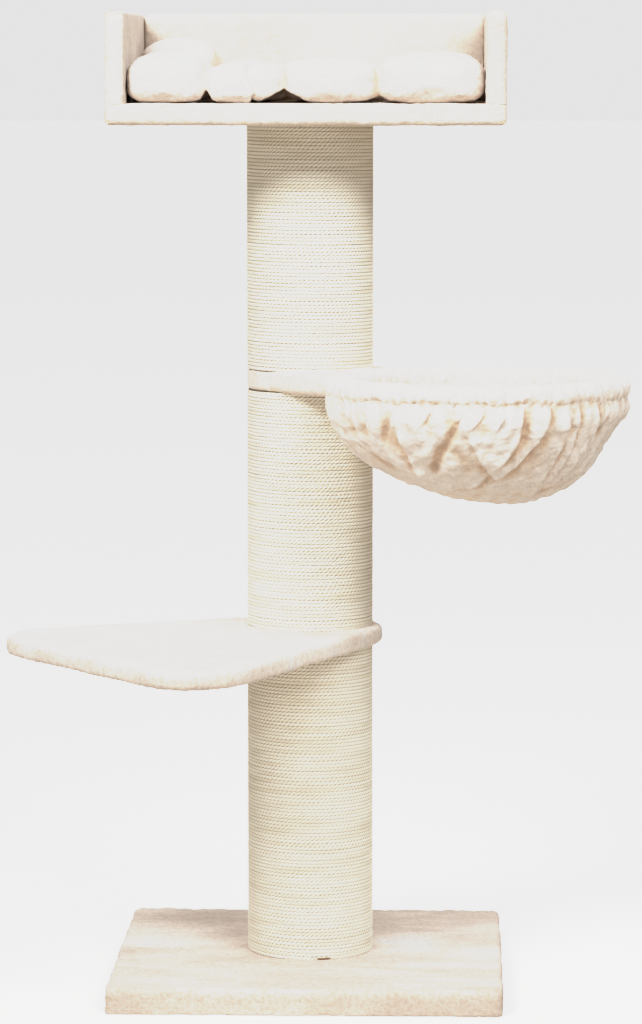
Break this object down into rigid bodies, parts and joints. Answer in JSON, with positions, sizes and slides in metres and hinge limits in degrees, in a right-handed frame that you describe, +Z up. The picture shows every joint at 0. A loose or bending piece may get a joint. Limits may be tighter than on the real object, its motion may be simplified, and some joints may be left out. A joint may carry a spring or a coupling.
{
  "type": "cat tree",
  "caption": "Tall floor-standing cat tree: thick sisal scratching post on a square plush base, with a fan-shaped platform, a gathered plush hammock and an open-fronted cushioned box on top.",
  "frame": {"origin": "the post's axis at floor level, on the base's underside", "axes": "+Z up along the post; the open front of the top box faces -Y; the hammock lies towards +X and the platform towards -X"},
  "size_m": [0.9645, 0.8357, 1.534],
  "materials": {
    "cream_plush": "short dense pile, soft sheen",
    "plush_bag": "short dense pile, gathered",
    "sisal": "three-strand twisted natural fibre, closely wound",
    "wood_board": "raw chipboard",
    "cardboard_tube": "spirally wound grey-brown board",
    "black_felt": "needled felt",
    "zinc_steel": "bright zinc plate",
    "fibre_filling": "loose polyester fibre",
    "white_elastic": "braided elastic cord"
  },
  "bodies": {
    "stand": {"base_board": "wood_board", "base_bolts": "zinc_steel", "base_cover": "cream_plush", "base_underlay": "black_felt", "base_washers": "zinc_steel", "box_bolt": "zinc_steel", "box_washer": "zinc_steel", "hammock_stud": "zinc_steel", "lower_post_bottom_disc": "wood_board", "lower_post_sisal": "sisal", "lower_post_top_disc": "wood_board", "lower_post_tube": "cardboard_tube", "middle_post_bottom_disc": "wood_board", "middle_post_sisal": "sisal", "middle_post_top_disc": "wood_board", "middle_post_tube": "cardboard_tube", "platform_stud": "zinc_steel", "post_inserts": "zinc_steel", "rope_staples": "zinc_steel", "upper_post_bottom_disc": "wood_board", "upper_post_sisal": "sisal", "upper_post_top_disc": "wood_board", "upper_post_tube": "cardboard_tube"},
    "platform": {"platform_board": "wood_board", "platform_cover": "cream_plush"},
    "hammock": {"hammock_board": "wood_board", "hammock_arm_cover": "cream_plush", "hammock_bag": "plush_bag", "hammock_elastic": "white_elastic"},
    "top_box": {"box_back_wall_board": "wood_board", "box_back_wall_cover": "cream_plush", "box_floor_board": "wood_board", "box_floor_cover": "cream_plush", "box_left_wall_board": "wood_board", "box_left_wall_cover": "cream_plush", "box_right_wall_board": "wood_board", "box_right_wall_cover": "cream_plush", "box_screws": "zinc_steel"},
    "cushion": {"cushion_cover": "cream_plush", "cushion_filling": "fibre_filling"}
  },
  "joints": [
    {"name": "platform_swivel", "type": "hinge", "parent": "stand", "child": "platform", "pos_m": [0, 0, 0.552], "axis": [0, 0, 1], "continuous": true},
    {"name": "hammock_swivel", "type": "hinge", "parent": "stand", "child": "hammock", "pos_m": [0, 0, 0.9585], "axis": [0, 0, 1], "continuous": true},
    {"name": "box_swivel", "type": "hinge", "parent": "stand", "child": "top_box", "pos_m": [0, 0, 1.3775], "axis": [0, 0, 1], "continuous": true},
    {"name": "cushion_lift", "type": "slide", "parent": "top_box", "child": "cushion", "axis": [0, 0, 1], "range_m": [0, 0.25]}
  ]
}
